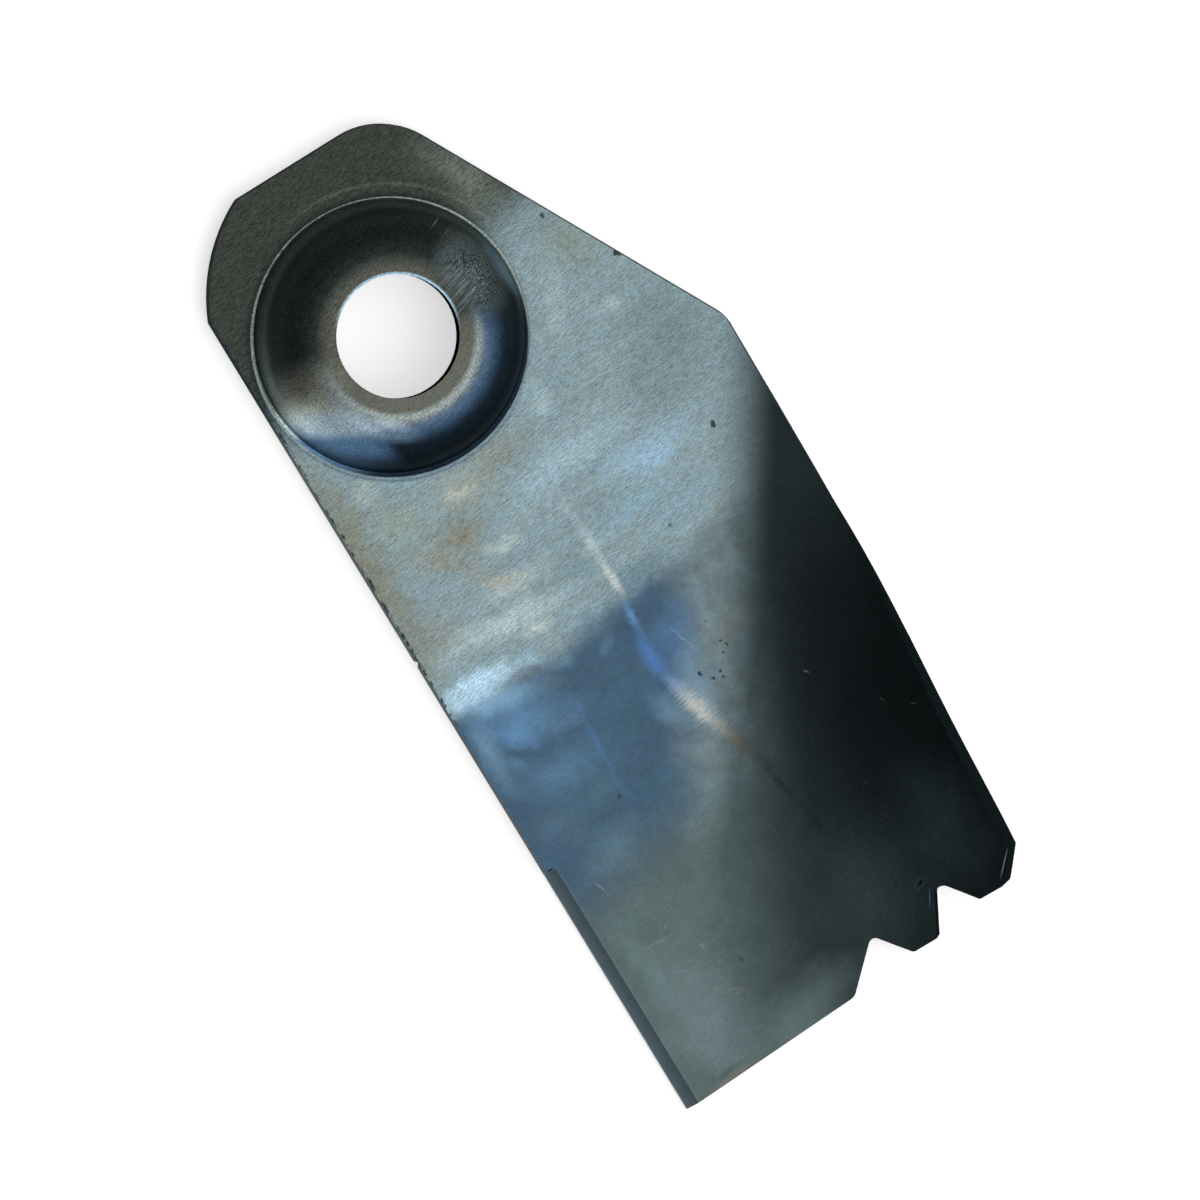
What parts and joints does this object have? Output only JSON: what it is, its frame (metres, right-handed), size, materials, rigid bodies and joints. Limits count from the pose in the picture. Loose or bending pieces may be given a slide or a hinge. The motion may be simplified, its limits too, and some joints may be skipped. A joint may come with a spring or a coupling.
{
  "type": "rotary cutter blade",
  "caption": "Pressed steel rotary cutter blade with a domed bolt cup at the heel, a straight ground cutting edge and an upturned, notched wing at the tip",
  "frame": {"origin": "centre of the bolt hole, in the plane of the cup's flat bearing ring", "axes": "+X along the blade to its tip, +Y from the straight cutting edge to the wing edge, +Z out of the top of the cup along the bolt hole; the web's top face is 9.5 mm below the origin"},
  "size_m": [0.1668, 0.0735, 0.0135],
  "materials": {
    "blade_steel": "bare heat-treated steel, blue-grey to near black with a fine grain and faint temper colours"
  },
  "bodies": {
    "root": {"blade": "blade_steel"}
  },
  "joints": []
}
